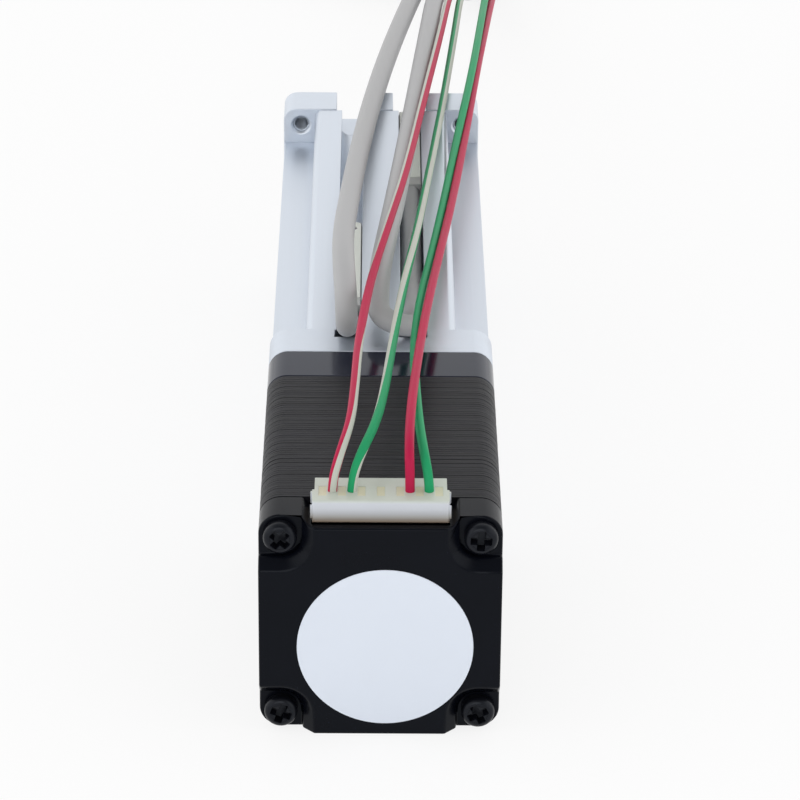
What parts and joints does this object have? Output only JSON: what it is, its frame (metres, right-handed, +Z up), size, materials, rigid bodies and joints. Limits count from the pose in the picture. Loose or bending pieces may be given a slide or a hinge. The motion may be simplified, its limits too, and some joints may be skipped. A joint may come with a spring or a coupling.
{
  "type": "ball screw electric cylinder",
  "caption": "Compact electric cylinder: square stepper motor, silver slotted barrel and front flange, with sensor cables and motor leads coiled behind.",
  "frame": {"origin": "centre of the front flange's front face, on the rod axis", "axes": "+Y along the rod axis, the way the rod moves out; +Z up, towards the sensor slots; +X right seen from the motor"},
  "size_m": [0.0366, 0.2834, 0.0373],
  "materials": {
    "black_cover": "satin",
    "white_label": "satin",
    "stator_steel": "satin",
    "bell_metal": "satin",
    "silver_aluminium": "anodised",
    "steel": "ground",
    "black_screw": "blackened",
    "rotor_steel": "ground",
    "magnet": "satin",
    "copper": "enamelled",
    "bronze": "sintered",
    "contact_metal": "tinned",
    "milky_nylon": "moulded",
    "insulator_plastic": "moulded",
    "guide_plastic": "moulded",
    "black_rubber": "matte",
    "sensor_plastic": "moulded",
    "grey_sheath": "satin",
    "red_sheath": "satin",
    "green_sheath": "satin",
    "tie_plastic": "moulded"
  },
  "bodies": {
    "housing": {"rear_cover": "black_cover", "round_label": "white_label", "stator_stack": "stator_steel", "rear_insulator": "insulator_plastic", "front_insulator": "insulator_plastic", "winding_coils": "copper", "front_bell": "bell_metal", "tie_screws": "black_screw", "preload_washer": "steel", "rear_bearing_outer_ring": "steel", "front_bearing_outer_ring": "steel", "bearing_circlip": "steel", "motor_header": "milky_nylon", "header_pins": "contact_metal", "plug_housing": "milky_nylon", "plug_contacts": "contact_metal", "adapter_plate": "silver_aluminium", "plate_screws": "black_screw", "barrel": "silver_aluminium", "front_flange": "silver_aluminium", "flange_screws": "black_screw", "rod_bush": "bronze", "rod_wiper": "black_rubber", "front_bumper": "black_rubber", "rear_bumper": "black_rubber", "left_sensor": "sensor_plastic", "right_sensor": "sensor_plastic", "sensor_set_screws": "steel", "sensor_labels": "white_label", "left_sensor_cable": "grey_sheath", "right_sensor_cable": "grey_sheath", "sensor_cable_coil": "grey_sheath", "lead_red_white": "red_sheath", "lead_green_white": "green_sheath", "lead_red": "red_sheath", "lead_green": "green_sheath", "motor_lead_coil": "red_sheath", "coil_tie": "tie_plastic"},
    "screw": {"ball_screw_shaft": "steel", "rotor_rear_stack": "rotor_steel", "rotor_front_stack": "rotor_steel", "rotor_magnet": "magnet", "spacer_sleeve": "steel", "rear_bearing_inner_ring": "steel", "front_bearing_inner_ring": "steel"},
    "rod": {"ball_nut": "steel", "nut_balls": "steel", "ball_return": "guide_plastic", "rod_carrier": "silver_aluminium", "guide_shoes": "guide_plastic", "magnet_ring": "magnet", "rod_tube": "steel", "rod_end": "steel"}
  },
  "joints": [
    {"name": "screw_spin", "type": "hinge", "parent": "housing", "child": "screw", "pos_m": [0, 0, 0], "axis": [0, 1, 0], "range_deg": [-4500, 0]},
    {"name": "rod_slide", "type": "slide", "parent": "housing", "child": "rod", "axis": [0, 1, 0], "range_m": [0, 0.05]}
  ],
  "couplings": [
    {"joint": "screw_spin", "follows": "rod_slide", "rad_per_m": -1570.8}
  ]
}
